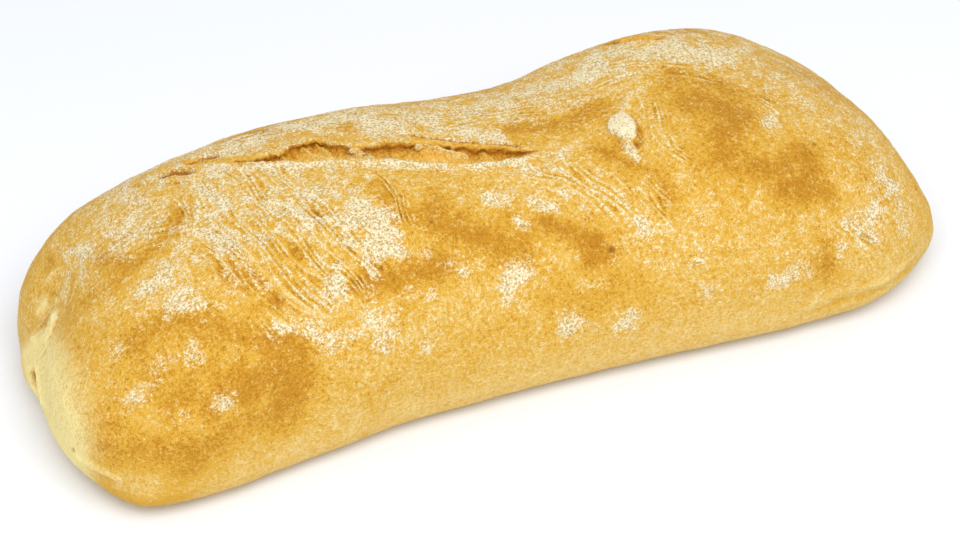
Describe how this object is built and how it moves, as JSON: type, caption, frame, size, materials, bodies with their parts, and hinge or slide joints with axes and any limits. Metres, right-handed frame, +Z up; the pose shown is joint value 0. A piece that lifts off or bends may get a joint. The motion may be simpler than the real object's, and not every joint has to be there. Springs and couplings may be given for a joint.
{
  "type": "ciabatta",
  "caption": "Whole ciabatta: a long, slipper-shaped loaf with a gently humped crown, a torn seam along its top and a flat sole.",
  "frame": {"origin": "on the surface the loaf rests on, under the middle of its bounding box", "axes": "+X along the loaf, towards the end with the broader hump; +Y across it, away from the side shown; +Z up"},
  "size_m": [0.303, 0.1244, 0.068],
  "materials": {
    "crust": null
  },
  "bodies": {
    "root": {"loaf": "crust"}
  },
  "joints": []
}
